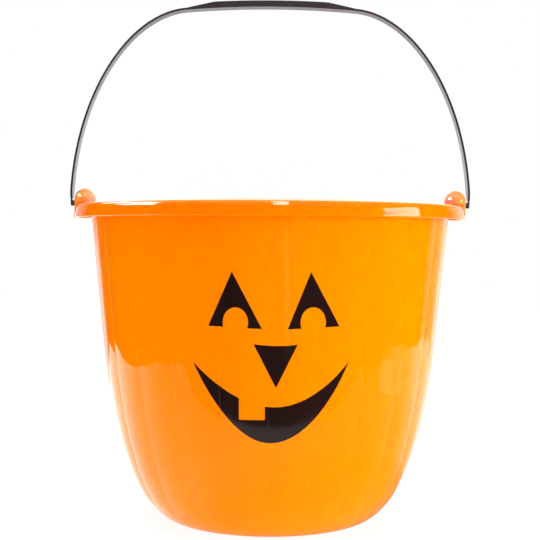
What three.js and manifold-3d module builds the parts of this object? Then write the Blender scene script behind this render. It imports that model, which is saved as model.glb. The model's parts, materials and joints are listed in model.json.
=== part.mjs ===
// A Halloween bucket: a round moulded pail with a ribbed wall, a turned-down rim and two hollow ears,
// a snap-in strap bail, and a jack-o'-lantern face printed on the front of the wall.
// Millimetres, +Z up. The pail stands on z = 0 with its axis on x = y = 0, and the face looks along -Y.
import * as THREE from "three";
import { mergeVertices } from "three/addons/utils/BufferGeometryUtils.js";
import Module from "manifold-3d";

// Pail wall
const PAIL_HEIGHT = 175;
const MOUTH_RADIUS = 99.4; // outside of the wall, taken up to the top of the rim
const WALL_TAPER = 6; // degrees from upright
const BELLY_HEIGHT = 98; // below this the wall curves in to the foot
const BELLY_POWER = 2.5; // 2 is an ellipse, and more is squarer
const WALL_THICKNESS = 1.5;
const FOOT_RADIUS = 46;
const FOOT_WIDTH = 4;
const FOOT_RECESS = 2; // how far the middle of the base is raised

// Ribs, and the shallow lobes between them
const RIB_COUNT = 23;
const RIB_WIDTH = 1.4;
const RIB_HEIGHT = 0.35;
const LOBE_RISE = 0.5;
const RIB_FOOT = 9; // height at which the ribs and lobes have died away
const RIB_FULL = 15; // height from which they have their full depth

// Rim, which turns over and down into a flared skirt
const RIM_OVERHANG = 8.4; // skirt's lower edge outside the wall's line at the mouth
const RIM_DEPTH = 8.5;
const RIM_WALL = 1.5;
const RIM_ROUND = 1.8;
const FLANGE_SLOPE = 12; // degrees, down from the lip to the round
const SKIRT_FLARE = 1.4;
const LIP_CHAMFER = 0.9;
const LIP_LAND = 0.6; // flat top of the lip outside the wall's line

// Ears, hollow domes over the rim
const EAR_STAND = 1.4; // outside the lower edge of the skirt
const EAR_OVERHANG = 0.9; // inside the wall
const EAR_RISE = 8.2; // above the rim
const EAR_SHOULDER = 1.5; // height above the rim at which the dome starts to close
const EAR_WIDTH = 18.5;
const EAR_WALL = 1.5;
const EAR_FLARE = 0.6;
const EAR_INSET = 0.4; // between the wall and the hollow of the ear
const PIVOT_DROP = 0.2; // pivot below the top of the rim
const PIVOT_HOLE = 4;

// Bail
const STRAP_WIDTH = 9.5;
const STRAP_THICKNESS = 1.2;
const STRAP_EAR_GAP = 1; // strap to ear
const CROWN_CLEARANCE = 1; // strap to rim as the bail folds past it
const CROWN_RADIUS = 550;
const LEG_PULL = 60; // reach of the leg's curve up from the pivot
const LEG_LEAN = 1.8; // and in from it
const SHOULDER_PULL = 33; // reach of the same curve out from the grip
const STRAP_END_WIDTH = 5.2;
const STRAP_END_RISE = 2.9; // strap's end above the pivot
const STRAP_END_TAPER = 7;
const NECK_THICKNESS = 0.9;
const NECK_WIDTH = 3;
const GRIP_LENGTH = 93.4;
const GRIP_FLAT = 62.5;
const GRIP_RISE = 2.35;

// Pegs, one at each end of the bail
const PEG_CLEARANCE = 0.4; // all round in the hole
const PEG_HEAD_OVERLAP = 0.4; // how much wider than the hole the head is, all round
const PEG_HEAD_LENGTH = 1.5;
const PEG_TIP_RADIUS = 1.3;
const PEG_HEAD_PLAY = 0.6; // head to the inside of the ear
const PEG_INSET = 0.2; // peg's end below the strap's outer face

// Face, in a flat front view: right of the pail's axis, and above the middle of the face
const FACE_LIFT = 9.5; // middle of the face above half the pail's height
const INK_GAP = 0.3;
const INK_THICKNESS = 0.25;
const LEFT_EYE = { apex: [-18, 42.2], outer: [-29.3, 15.7], inner: [-3.4, 14.5], pupil: [-16.2, 18.9] };
const RIGHT_EYE = { apex: [20.4, 42.2], outer: [34.5, 15.7], inner: [9.5, 14.5], pupil: [21.8, 19] };
const PUPIL_RADIUS = 6.25;
const NOSE = { left: [-7, 6.9], right: [14, 7], tip: [3.8, -14.3], sag: 1.3 };
const MOUTH = {
  leftTip: [-37.2, -2.7],
  rightTip: [40.2, -1.9],
  lower: { left: [-29.6, -20.5], right: [32.6, -21.1], bottom: [1.2, -42.3], pull: 17.2 },
  upper: { left: [-27.5, -10.7], right: [30.2, -15.4], bottom: [3, -24.2], pull: 14.6 },
};
const TOOTH = { left: -14.3, right: -1.5, bottom: -30.7 };

// How finely curves are cut
const BELLY_STEPS = 10;
const ROUND_STEPS = 4;
const MOUTH_STEPS = 72;
const EAR_STEPS = 28;
const DOME_STEPS = 6;
const PEG_STEPS = 24;
const LEG_STEPS = 14;
const CROWN_STEPS = 6;

// Places that follow from the sizes above
const RIM_BOTTOM = PAIL_HEIGHT - RIM_DEPTH;
const RIM_ROOF = PAIL_HEIGHT - RIM_WALL;
const RIM_RADIUS = MOUTH_RADIUS + RIM_OVERHANG;
const PIVOT_HEIGHT = PAIL_HEIGHT - PIVOT_DROP;
const EAR_REACH = RIM_RADIUS + EAR_STAND;
const EAR_INSIDE = MOUTH_RADIUS - WALL_THICKNESS - EAR_OVERHANG;
const STRAP_REACH = EAR_REACH + STRAP_EAR_GAP + STRAP_THICKNESS;
const RIM_SWEEP = Math.hypot(RIM_RADIUS, RIM_DEPTH - PIVOT_DROP); // furthest rim point from the pivot line
const CROWN_HEIGHT = RIM_SWEEP + CROWN_CLEARANCE + STRAP_THICKNESS; // strap's outer face above the pivot
const PEG_RADIUS = PIVOT_HOLE / 2 - PEG_CLEARANCE;
const PEG_HEAD_RADIUS = PIVOT_HOLE / 2 + PEG_HEAD_OVERLAP;
const FACE_HEIGHT = PAIL_HEIGHT / 2 + FACE_LIFT;

const wasm = await Module();
wasm.setup();

// Boolean solids
function solidOf(geometry) {
  geometry.deleteAttribute("normal");
  geometry.deleteAttribute("uv");
  const merged = mergeVertices(geometry, 1e-4);
  const mesh = new wasm.Mesh({
    numProp: 3,
    vertProperties: merged.getAttribute("position").array,
    triVerts: Uint32Array.from(merged.index.array),
  });
  return new wasm.Manifold(mesh);
}

function geometryOf(solid) {
  const mesh = solid.getMesh();
  const geometry = new THREE.BufferGeometry();
  geometry.setAttribute("position", new THREE.BufferAttribute(Float32Array.from(mesh.vertProperties), 3));
  geometry.setIndex(new THREE.BufferAttribute(Uint32Array.from(mesh.triVerts), 1));
  return geometry;
}

// A solid turned about the upright axis from a profile of (radius, height) points, bottom to top
function turned(points, steps) {
  return new THREE.LatheGeometry(points, steps).rotateX(Math.PI / 2);
}

// A flat outline drawn in (x, height), pushed from y = 0 to y = -depth
function pushed(shape, depth, curveSegments = 12) {
  const options = { depth, curveSegments, bevelEnabled: false };
  return new THREE.ExtrudeGeometry(shape, options).rotateX(Math.PI / 2);
}

// The same line moved sideways by a distance, to the left of its direction
function offsetLine(points, distance) {
  return points.map((point, i) => {
    const before = points[Math.max(i - 1, 0)];
    const after = points[Math.min(i + 1, points.length - 1)];
    const along = after.clone().sub(before).normalize();
    return new THREE.Vector2(point.x - along.y * distance, point.y + along.x * distance);
  });
}

// Wall profile: a straight taper that runs into a squared ellipse down to the foot
function wallRadius(height) {
  const taper = Math.tan(THREE.MathUtils.degToRad(WALL_TAPER));
  const straight = MOUTH_RADIUS - (PAIL_HEIGHT - height) * taper;
  if (height >= BELLY_HEIGHT) return straight;
  const drop = 1 - height / BELLY_HEIGHT;
  return FOOT_RADIUS + (straight - FOOT_RADIUS) * (1 - drop ** BELLY_POWER) ** (1 / BELLY_POWER);
}

// Points on the wall from the foot up to a height
function wallLine(top) {
  const points = [];
  for (let i = 0; i <= BELLY_STEPS; i += 1) {
    const turn = ((BELLY_STEPS - i) / BELLY_STEPS) * (Math.PI / 2);
    const height = BELLY_HEIGHT * (1 - Math.sin(turn) ** (2 / BELLY_POWER));
    points.push(new THREE.Vector2(wallRadius(height), height));
  }
  points.push(new THREE.Vector2(wallRadius(top), top));
  return points;
}

// Ribs and lobes, as angles round the pail from its front and how far each stands out
function reliefColumns() {
  const pitch = (2 * Math.PI) / RIB_COUNT;
  const half = RIB_WIDTH / 2 / MOUTH_RADIUS;
  const columns = [];
  for (let rib = 0; rib < RIB_COUNT; rib += 1) {
    for (const offset of [-half, 0, half, pitch / 4, pitch / 2, (3 * pitch) / 4]) {
      const share = Math.abs(offset) / pitch;
      const lobe = LOBE_RISE * 4 * share * (1 - share);
      columns.push({ angle: rib * pitch + offset, rise: offset === 0 ? RIB_HEIGHT : lobe });
    }
  }
  return columns;
}

// A ribbed solid of revolution: each row is (radius, height), and ribbed rows carry the relief
function ribbed(rows) {
  const columns = reliefColumns();
  const count = columns.length;
  const positions = [0, 0, rows[0].y];
  for (const row of rows.slice(1, -1)) {
    const depth = row.ribbed ? THREE.MathUtils.smoothstep(row.y, RIB_FOOT, RIB_FULL) : 0;
    for (const { angle, rise } of columns) {
      const radius = row.x + rise * depth;
      positions.push(radius * Math.sin(angle), -radius * Math.cos(angle), row.y);
    }
  }
  positions.push(0, 0, rows[rows.length - 1].y);
  const top = positions.length / 3 - 1;
  const at = (row, column) => 1 + row * count + (column % count);
  const index = [];
  for (let column = 0; column < count; column += 1) {
    index.push(0, at(0, column + 1), at(0, column));
    for (let row = 0; row < rows.length - 3; row += 1) {
      index.push(at(row, column), at(row, column + 1), at(row + 1, column + 1));
      index.push(at(row, column), at(row + 1, column + 1), at(row + 1, column));
    }
    index.push(at(rows.length - 3, column), at(rows.length - 3, column + 1), top);
  }
  const geometry = new THREE.BufferGeometry();
  geometry.setAttribute("position", new THREE.Float32BufferAttribute(positions, 3));
  geometry.setIndex(index);
  return geometry;
}

const plainRow = (radius, height) => ({ x: radius, y: height, ribbed: false });
const ribbedRow = (point, outward = 0) => ({ x: point.x + outward, y: point.y, ribbed: true });

// Pail: outside with its rim, less the inside. The rim's flange slopes down from the lip to the round,
// and its underside follows it.
function pailOutside() {
  const slope = THREE.MathUtils.degToRad(FLANGE_SLOPE);
  const skirtTop = RIM_RADIUS - SKIRT_FLARE;
  const lipEdge = MOUTH_RADIUS + LIP_LAND;
  const roundEdge = skirtTop - RIM_ROUND * (1 - Math.sin(slope));
  const flangeEdge = PAIL_HEIGHT - (roundEdge - lipEdge) * Math.tan(slope);
  const roundCentre = flangeEdge - RIM_ROUND * Math.cos(slope);
  const roofCorner = skirtTop - RIM_WALL;
  const roofDrop = (roofCorner - MOUTH_RADIUS) * Math.tan(slope);
  const footInside = FOOT_RADIUS - FOOT_WIDTH;
  const rows = [
    plainRow(0, FOOT_RECESS),
    plainRow(footInside - FOOT_RECESS, FOOT_RECESS),
    plainRow(footInside, 0),
    ...wallLine(RIM_ROOF).map((point) => ribbedRow(point)),
    plainRow(roofCorner, RIM_ROOF - roofDrop),
    plainRow(RIM_RADIUS - RIM_WALL, RIM_BOTTOM),
    plainRow(RIM_RADIUS, RIM_BOTTOM),
  ];
  for (let i = 0; i <= ROUND_STEPS; i += 1) {
    const turn = (i / ROUND_STEPS) * (Math.PI / 2 - slope);
    const radius = skirtTop - RIM_ROUND * (1 - Math.cos(turn));
    rows.push(plainRow(radius, roundCentre + RIM_ROUND * Math.sin(turn)));
  }
  rows.push(plainRow(lipEdge, PAIL_HEIGHT), plainRow(0, PAIL_HEIGHT));
  return solidOf(ribbed(rows));
}

// The inside keeps the wall's thickness everywhere, so the floor steps up over the base's recess
function pailInside() {
  const footInside = FOOT_RADIUS - FOOT_WIDTH;
  const floor = FOOT_RECESS + WALL_THICKNESS;
  return solidOf(
    turned(
      [
        new THREE.Vector2(0, floor),
        new THREE.Vector2(footInside - FOOT_RECESS - WALL_THICKNESS / 2, floor),
        new THREE.Vector2(footInside - WALL_THICKNESS / 2, WALL_THICKNESS),
        ...offsetLine(wallLine(PAIL_HEIGHT - LIP_CHAMFER), WALL_THICKNESS),
        new THREE.Vector2(MOUTH_RADIUS - WALL_THICKNESS + LIP_CHAMFER, PAIL_HEIGHT),
        new THREE.Vector2(0, PAIL_HEIGHT),
      ],
      MOUTH_STEPS,
    ),
  );
}

// An upright thumb shape with an oval plan: straight from the bottom to the shoulder, then a dome
function thumb({ inside, outside, width, bottom, shoulder, top, flare }) {
  const depth = (outside - inside) / 2;
  const points = [new THREE.Vector2(0, bottom), new THREE.Vector2(1 + flare / depth, bottom)];
  for (let i = 0; i <= DOME_STEPS; i += 1) {
    const turn = (i / DOME_STEPS) * (Math.PI / 2);
    const radius = i < DOME_STEPS ? Math.cos(turn) : 0;
    points.push(new THREE.Vector2(radius, shoulder + (top - shoulder) * Math.sin(turn)));
  }
  return solidOf(
    turned(points, EAR_STEPS)
      .scale(depth, width / 2, 1)
      .translate(inside + depth, 0, 0),
  );
}

function ear() {
  const shoulder = PAIL_HEIGHT + EAR_SHOULDER;
  const top = PAIL_HEIGHT + EAR_RISE;
  return thumb({
    inside: EAR_INSIDE,
    outside: EAR_REACH,
    width: EAR_WIDTH,
    bottom: RIM_BOTTOM,
    shoulder,
    top,
    flare: EAR_FLARE,
  });
}

// The ear's hollow opens down into the channel behind the skirt
function earHollow() {
  return thumb({
    inside: MOUTH_RADIUS + EAR_INSET,
    outside: EAR_REACH - EAR_WALL,
    width: EAR_WIDTH - 2 * EAR_WALL,
    bottom: RIM_BOTTOM - EAR_WALL,
    shoulder: PAIL_HEIGHT + EAR_SHOULDER,
    top: PAIL_HEIGHT + EAR_RISE - EAR_WALL,
    flare: 0,
  });
}

// A rod along X, turned from (radius, x) points
function rod(points) {
  const lathe = new THREE.LatheGeometry(points, PEG_STEPS).rotateZ(-Math.PI / 2);
  return solidOf(lathe.translate(0, 0, PIVOT_HEIGHT));
}

function pivotHole() {
  const middle = (EAR_INSIDE + EAR_REACH) / 2;
  return rod([
    new THREE.Vector2(0, middle),
    new THREE.Vector2(PIVOT_HOLE / 2, middle),
    new THREE.Vector2(PIVOT_HOLE / 2, EAR_REACH + EAR_STAND),
    new THREE.Vector2(0, EAR_REACH + EAR_STAND),
  ]);
}

function bothSides(solid) {
  return solid.add(solid.mirror([1, 0, 0]));
}

function pailShell() {
  const cuts = bothSides(earHollow().add(pivotHole()));
  return pailOutside().add(bothSides(ear())).subtract(pailInside()).subtract(cuts);
}

// Bail: the strap's outer face in a front view, from the right pivot over to the left one
function strapLine() {
  const crown = PIVOT_HEIGHT + CROWN_HEIGHT;
  const half = Math.asin(GRIP_LENGTH / 2 / CROWN_RADIUS);
  const onCrown = (turn) =>
    new THREE.Vector2(CROWN_RADIUS * Math.sin(turn), crown - CROWN_RADIUS * (1 - Math.cos(turn)));
  const gripEnd = onCrown(half);
  const shoulder = new THREE.Vector2(Math.cos(half), -Math.sin(half)).multiplyScalar(SHOULDER_PULL);
  const leg = new THREE.CubicBezierCurve(
    new THREE.Vector2(STRAP_REACH, PIVOT_HEIGHT),
    new THREE.Vector2(STRAP_REACH - LEG_LEAN, PIVOT_HEIGHT + LEG_PULL),
    shoulder.add(gripEnd),
    gripEnd,
  ).getPoints(LEG_STEPS);
  const over = [];
  for (let i = 1; i < CROWN_STEPS; i += 1) over.push(onCrown(half * (1 - (2 * i) / CROWN_STEPS)));
  const otherLeg = leg.map((point) => new THREE.Vector2(-point.x, point.y)).reverse();
  return [...leg, ...over, ...otherLeg];
}

function strap() {
  const outer = strapLine();
  const inner = offsetLine(outer, STRAP_THICKNESS).reverse();
  const front = solidOf(pushed(new THREE.Shape([...outer, ...inner]), STRAP_WIDTH));
  const end = PIVOT_HEIGHT + STRAP_END_RISE;
  const full = end + STRAP_END_TAPER;
  const above = PIVOT_HEIGHT + CROWN_HEIGHT + STRAP_THICKNESS;
  const side = new THREE.Shape();
  side.moveTo(-STRAP_END_WIDTH / 2, end);
  side.lineTo(STRAP_END_WIDTH / 2, end);
  side.quadraticCurveTo(STRAP_WIDTH / 2, (end + full) / 2, STRAP_WIDTH / 2, full);
  side.lineTo(STRAP_WIDTH / 2, above);
  side.lineTo(-STRAP_WIDTH / 2, above);
  side.lineTo(-STRAP_WIDTH / 2, full);
  side.quadraticCurveTo(-STRAP_WIDTH / 2, (end + full) / 2, -STRAP_END_WIDTH / 2, end);
  const across = pushed(side, 4 * STRAP_REACH, 6).translate(0, 2 * STRAP_REACH, 0).rotateZ(Math.PI / 2);
  return front.translate([0, STRAP_WIDTH / 2, 0]).intersect(solidOf(across));
}

// The grip is a flat-topped bar on the strap's crown with sloping ends
function grip() {
  const centre = PIVOT_HEIGHT + CROWN_HEIGHT - CROWN_RADIUS;
  const inner = CROWN_RADIUS - STRAP_THICKNESS / 2;
  const outer = CROWN_RADIUS + GRIP_RISE;
  const foot = Math.asin(GRIP_LENGTH / 2 / CROWN_RADIUS);
  const flat = Math.asin(GRIP_FLAT / 2 / CROWN_RADIUS);
  const bar = new THREE.Shape();
  bar.absarc(0, centre, inner, Math.PI / 2 - foot, Math.PI / 2 + foot, false);
  bar.absarc(0, centre, outer, Math.PI / 2 + flat, Math.PI / 2 - flat, true);
  return solidOf(pushed(bar, STRAP_WIDTH, CROWN_STEPS)).translate([0, STRAP_WIDTH / 2, 0]);
}

function neckAndPeg() {
  const middle = STRAP_REACH - STRAP_THICKNESS / 2;
  const neckHeight = STRAP_END_RISE + STRAP_THICKNESS;
  const neck = new THREE.BoxGeometry(NECK_THICKNESS, NECK_WIDTH, neckHeight).translate(
    middle,
    0,
    PIVOT_HEIGHT + neckHeight / 2,
  );
  const headFace = EAR_REACH - EAR_WALL - PEG_HEAD_PLAY;
  const tip = headFace - PEG_HEAD_LENGTH;
  const peg = rod([
    new THREE.Vector2(0, tip),
    new THREE.Vector2(PEG_TIP_RADIUS, tip),
    new THREE.Vector2(PEG_HEAD_RADIUS, (tip + headFace) / 2),
    new THREE.Vector2(PEG_HEAD_RADIUS, headFace),
    new THREE.Vector2(PEG_RADIUS, headFace),
    new THREE.Vector2(PEG_RADIUS, STRAP_REACH - PEG_INSET),
    new THREE.Vector2(0, STRAP_REACH - PEG_INSET),
  ]);
  return solidOf(neck).add(peg);
}

function bailHandle() {
  return strap().add(grip()).add(bothSides(neckAndPeg()));
}

// Print: each figure is the part of a thin skin over the wall that lies behind its flat outline
function inkSkin() {
  const skin = (outward) => {
    const rows = wallLine(RIM_ROOF).filter((point) => point.y > RIB_FULL);
    const low = rows[0].y;
    return solidOf(
      ribbed([plainRow(0, low), ...rows.map((point) => ribbedRow(point, outward)), plainRow(0, RIM_ROOF)]),
    );
  };
  return skin(INK_GAP + INK_THICKNESS).subtract(skin(INK_GAP));
}

function stencil(shape) {
  return solidOf(pushed(shape, 2 * MOUTH_RADIUS, 16)).translate([0, 0, FACE_HEIGHT]);
}

const outlineOf = (...corners) => new THREE.Shape(corners.map(([x, y]) => new THREE.Vector2(x, y)));

function eyeStencil({ apex, outer, inner, pupil }) {
  const round = new THREE.Shape().absarc(pupil[0], pupil[1], PUPIL_RADIUS, 0, 2 * Math.PI, false);
  return stencil(outlineOf(apex, outer, inner)).subtract(stencil(round));
}

function noseStencil() {
  const { left, right, tip, sag } = NOSE;
  const shape = new THREE.Shape();
  shape.moveTo(...tip);
  shape.lineTo(...right);
  shape.quadraticCurveTo((left[0] + right[0]) / 2, (left[1] + right[1]) / 2 - sag, ...left);
  shape.lineTo(...tip);
  return stencil(shape);
}

function mouthStencil() {
  const { leftTip, rightTip, lower, upper } = MOUTH;
  const shape = new THREE.Shape();
  shape.moveTo(...leftTip);
  shape.bezierCurveTo(...lower.left, lower.bottom[0] - lower.pull, lower.bottom[1], ...lower.bottom);
  shape.bezierCurveTo(lower.bottom[0] + lower.pull, lower.bottom[1], ...lower.right, ...rightTip);
  shape.bezierCurveTo(...upper.right, upper.bottom[0] + upper.pull, upper.bottom[1], ...upper.bottom);
  shape.bezierCurveTo(upper.bottom[0] - upper.pull, upper.bottom[1], ...upper.left, ...leftTip);
  const { left, right, bottom } = TOOTH;
  return stencil(shape).subtract(stencil(outlineOf([left, bottom], [right, bottom], [right, 0], [left, 0])));
}

// Materials
const orangePlastic = { color: "#ff8200", roughness: 0.18, metalness: 0 };
const blackPlastic = { color: "#332b2c", roughness: 0.32, metalness: 0 };
const blackInk = { color: "#241414", roughness: 0.4, metalness: 0 };

function part(name, solid, finish) {
  const mesh = new THREE.Mesh(geometryOf(solid), new THREE.MeshStandardMaterial(finish));
  mesh.name = name;
  return mesh;
}

const skin = inkSkin();
const group = new THREE.Group();
group.add(part("pail_shell", pailShell(), orangePlastic));
group.add(part("bail_handle", bailHandle(), blackPlastic));
group.add(part("left_eye_print", skin.intersect(eyeStencil(LEFT_EYE)), blackInk));
group.add(part("right_eye_print", skin.intersect(eyeStencil(RIGHT_EYE)), blackInk));
group.add(part("nose_print", skin.intersect(noseStencil()), blackInk));
group.add(part("mouth_print", skin.intersect(mouthStencil()), blackInk));

export default group;
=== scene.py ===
# A Halloween bucket in glossy orange plastic with a black strap bail and a printed face.
# Metres, +Z up. The pail stands on z = 0 with its axis on x = y = 0, and the face looks along -Y.
import json
import math

import bpy
import numpy as np
from mathutils import Matrix, Vector

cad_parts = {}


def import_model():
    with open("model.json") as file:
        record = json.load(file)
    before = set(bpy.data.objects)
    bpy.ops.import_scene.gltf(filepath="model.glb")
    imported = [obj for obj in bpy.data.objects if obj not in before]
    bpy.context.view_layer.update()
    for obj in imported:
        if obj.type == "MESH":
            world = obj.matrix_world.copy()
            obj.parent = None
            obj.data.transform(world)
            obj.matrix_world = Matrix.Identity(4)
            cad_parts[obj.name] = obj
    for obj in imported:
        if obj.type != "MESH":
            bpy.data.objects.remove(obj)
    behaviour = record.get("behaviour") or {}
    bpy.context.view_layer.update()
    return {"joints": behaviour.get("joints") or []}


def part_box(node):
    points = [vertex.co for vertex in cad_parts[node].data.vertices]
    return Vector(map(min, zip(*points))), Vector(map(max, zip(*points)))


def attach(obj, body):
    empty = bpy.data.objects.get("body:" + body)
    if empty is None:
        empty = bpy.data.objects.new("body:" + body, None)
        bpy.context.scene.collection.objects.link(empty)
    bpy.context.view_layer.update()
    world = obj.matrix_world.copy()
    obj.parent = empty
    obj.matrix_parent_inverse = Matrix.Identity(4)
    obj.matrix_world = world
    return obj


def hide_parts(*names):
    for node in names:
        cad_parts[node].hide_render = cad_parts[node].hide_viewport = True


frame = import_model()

MM = 0.001

# Pail wall
EAR_RISE = 8.2 * MM  # above the rim
RIM_OVERHANG = 8.4 * MM  # skirt's lower edge outside the wall's line at the mouth
PAIL_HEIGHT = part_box("pail_shell")[1].z - EAR_RISE
RIM_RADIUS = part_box("pail_shell")[1].y
MOUTH_RADIUS = RIM_RADIUS - RIM_OVERHANG
WALL_TAPER = math.radians(6)
BELLY_HEIGHT = 98 * MM  # below this the wall curves in to the foot
BELLY_POWER = 2.5
WALL_THICKNESS = 1.5 * MM
FOOT_RADIUS = 46 * MM
FOOT_WIDTH = 4 * MM
FOOT_RECESS = 2 * MM  # the base is raised this much inside the foot ring
CORNER_ROUND = 0.5 * MM
SHARP_ANGLE = math.radians(40)  # of the pail and bail, past which an edge is sharp
NORMAL_WEIGHT = 80  # above 50 the broad faces count for more in the shading

# Ribs, and the shallow lobes between them
RIB_COUNT = 23
RIB_WIDTH = 0.9 * MM
RIB_HEIGHT = 0.16 * MM
LOBE_RISE = 0.5 * MM
RIB_FOOT = 9 * MM
RIB_FULL = 15 * MM
INSIDE_LOBE = 0.6  # share of the lobes that shows on the inside
RIB_PITCH = 2 * math.pi / RIB_COUNT
RIB_HALF_ANGLE = RIB_WIDTH / 2 / MOUTH_RADIUS

# Rim
RIM_DEPTH = 8.5 * MM
RIM_WALL = 1.5 * MM
RIM_ROUND = 1.8 * MM
FLANGE_SLOPE = math.radians(12)
SKIRT_FLARE = 1.4 * MM
LIP_LAND = 0.6 * MM
LIP_ROUND = 0.6 * MM
RIM_WAVE = 0.27 * MM  # unevenness of the skirt's face
RIM_BOTTOM = PAIL_HEIGHT - RIM_DEPTH

# Ears, hollow domes over the rim
EAR_FLARE = 0.6 * MM
EAR_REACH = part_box("pail_shell")[1].x - EAR_FLARE
EAR_OVERHANG = 0.9 * MM
EAR_SHOULDER = 1.5 * MM
EAR_WIDTH = 18.5 * MM
EAR_WALL = 1.5 * MM
EAR_INSET = 0.4 * MM
EAR_INSIDE = MOUTH_RADIUS - WALL_THICKNESS - EAR_OVERHANG
PIVOT_HEIGHT = frame["joints"][0]["pos_m"][2]
PIVOT_HOLE = 4 * MM

# Bail
STRAP_THICKNESS = 1.2 * MM
STRAP_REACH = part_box("bail_handle")[1].x + 0.1 * MM  # at the pivot, below which the strap isn't
STRAP_WIDTH = 2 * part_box("bail_handle")[1].y
STRAP_EDGE = 0.3 * MM  # rounding along the strap's edges
CROWN_RADIUS = 550 * MM
LEG_PULL = 60 * MM
LEG_LEAN = 1.8 * MM
SHOULDER_PULL = 33 * MM
STRAP_END_WIDTH = 5.2 * MM
STRAP_END_RISE = 2.9 * MM
STRAP_END_TAPER = 7 * MM
NECK_THICKNESS = 0.9 * MM
NECK_WIDTH = 3 * MM
GRIP_LENGTH = 93.4 * MM
GRIP_FLAT = 62.5 * MM
GRIP_RISE = 2.35 * MM
CROWN_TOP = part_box("bail_handle")[1].z - GRIP_RISE  # strap's outer face at its highest

# Pegs
PEG_RADIUS = 1.6 * MM
PEG_HEAD_RADIUS = 2.4 * MM
PEG_HEAD_LENGTH = 1.5 * MM
PEG_TIP_RADIUS = 1.3 * MM
PEG_HEAD_PLAY = 0.6 * MM
PEG_INSET = 0.2 * MM

# Face. Its points are millimetres right of the axis and above FACE_HEIGHT, in a flat front view
FACE_HEIGHT = PAIL_HEIGHT / 2 + 9.5 * MM
INK_LIFT = 0.01 * MM
INK_FILM = 0.05 * MM
INK_CORNER = 0.2 * MM
INK_SHARP_ANGLE = math.radians(60)
INK_PITCHES = 6  # rib pitches that the skin for the ink spans, half on each side of the axis
BITE_STEPS = 32
EYES = {
    "left": {"apex": (-18.3, 42.5), "outer": (-29.75, 15.8), "inner": (-3.45, 14.6), "pupil": (-16.45, 17.7)},
    "right": {"apex": (20.2, 42.5), "outer": (34.5, 15.8), "inner": (9, 14.5), "pupil": (21.5, 17.9)},
}
PUPIL_SIZE = (6.25, 7.45)
NOSE = {"left": (-7.5, 7.1), "right": (14, 7.1), "tip": (3.5, -14.4), "sag": (5.9, 5.5)}
MOUTH_TIPS = {"left": (-37.4, -2.5), "right": (39.7, -1.5)}
LOWER_LIP = {"left": (-24.3, -30.2), "right": (26.8, -32.3), "bottom": (0.7, -42.3), "pull": 11}
UPPER_LIP = {"left": (-26.5, -13.9), "right": (31.2, -12.9), "bottom": (2.9, -24.1), "pull": 14.4}
TOOTH = {"left": -14.6, "right": -1.8, "bottom": -30.6}

# Camera, fitted to the photograph
FRAME_PIXELS = 540
FOCAL_PIXELS = 1252
CAMERA_DISTANCE = 0.7
CAMERA_HEIGHT = 154.6 * MM
CAMERA_SIDE = 0.22 * MM
CAMERA_PITCH = math.radians(1.345)
CAMERA_ROLL = math.radians(0.4)
CAMERA_SENSOR = 36

# Colours. The wall has two shades that vary at random. The rim's deeper orange is painted shade, and the
# ear's two, which run from its inner side out, and the one below the rim are painted light
ORANGE = {
    "wall": [(1.0, 0.235, 0.0, 1), (1.0, 0.268, 0.0, 1)],
    # painted shade: the rim is deeper orange, for the light that its doubled plastic lets through less than
    # the wall
    "rim": (1.0, 0.203, 0.0, 1),
    # painted light: the ears are paler with light through their thin domes, palest on the inner side, where
    # the white behind shows through
    "ear": [(1.0, 0.54, 0.4, 1), (1.0, 0.28, 0.06, 1)],
    # painted glow of light through the plastic into the channel below the rim
    "painted glow under the rim": (1.0, 0.6, 0.12, 1),
}
BLACK = {
    "plastic": [(0.022, 0.016, 0.017, 1), (0.034, 0.026, 0.027, 1)],
    "ink": [(0.012, 0.0048, 0.0042, 1), (0.018, 0.007, 0.006, 1)],
}
WHITE = (1, 1, 1, 1)
GLOSS_TINT = (1.0, 0.85, 0.3, 1)  # the wall's deep orange swallows faint white gloss

# Edges between the pail's colours and finishes, as (place, soft width). Some of the colours are painted light
# and shade
RIM_EDGE = (RIM_BOTTOM, 1 * MM)
FLANGE_EDGE = (PAIL_HEIGHT - 3 * MM, 1.5 * MM)
WHITE_GLOSS_EDGE = (RIM_BOTTOM + 0.7 * MM, 0.4 * MM)
# where the painted glow below the rim lies
UNDERSIDE_EDGE = (RIM_BOTTOM + 0.2 * MM, 0.4 * MM)
UNDERSIDE_START = (MOUTH_RADIUS, 1 * MM)
# where the ears' painted light lies, and where it fades from pale on the inner side to deep orange
EAR_TOP_EDGE = (PAIL_HEIGHT + 0.3 * MM, 0.6 * MM)
EAR_SIDE_EDGE = (RIM_RADIUS, 0.6 * MM)
EAR_PAINTED_GLOW_EDGE = (99 * MM, 11 * MM)

# Finishes, as inputs of the moulded surface
FINISHES = {
    "orange plastic": {"Flow Scale": 12, "Gloss": 0.04, "Gloss Spread": 0.02},
    "black plastic": {"Flow Scale": 30, "Gloss": 0.3, "Gloss Spread": 0.08},
    "black ink": {"Flow Scale": 60, "Gloss": 0.1, "Gloss Spread": 0.04},
}
FLOW_STRETCH = (1, 1, 0.35)
GRAIN_SCALE = 900
GRAIN_DEPTH = 0.2 * MM
GRAIN_STRENGTH = {"orange plastic": 0.02, "black plastic": 0.1}
WAVE_SCALE = (12, 12, 380)
ORANGE_IOR = 1.49
GLOW_THROUGH = {"Subsurface Weight": 1.0, "Subsurface Radius": (1.0, 0.4, 0.1), "Subsurface Scale": 2 * MM}

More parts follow.
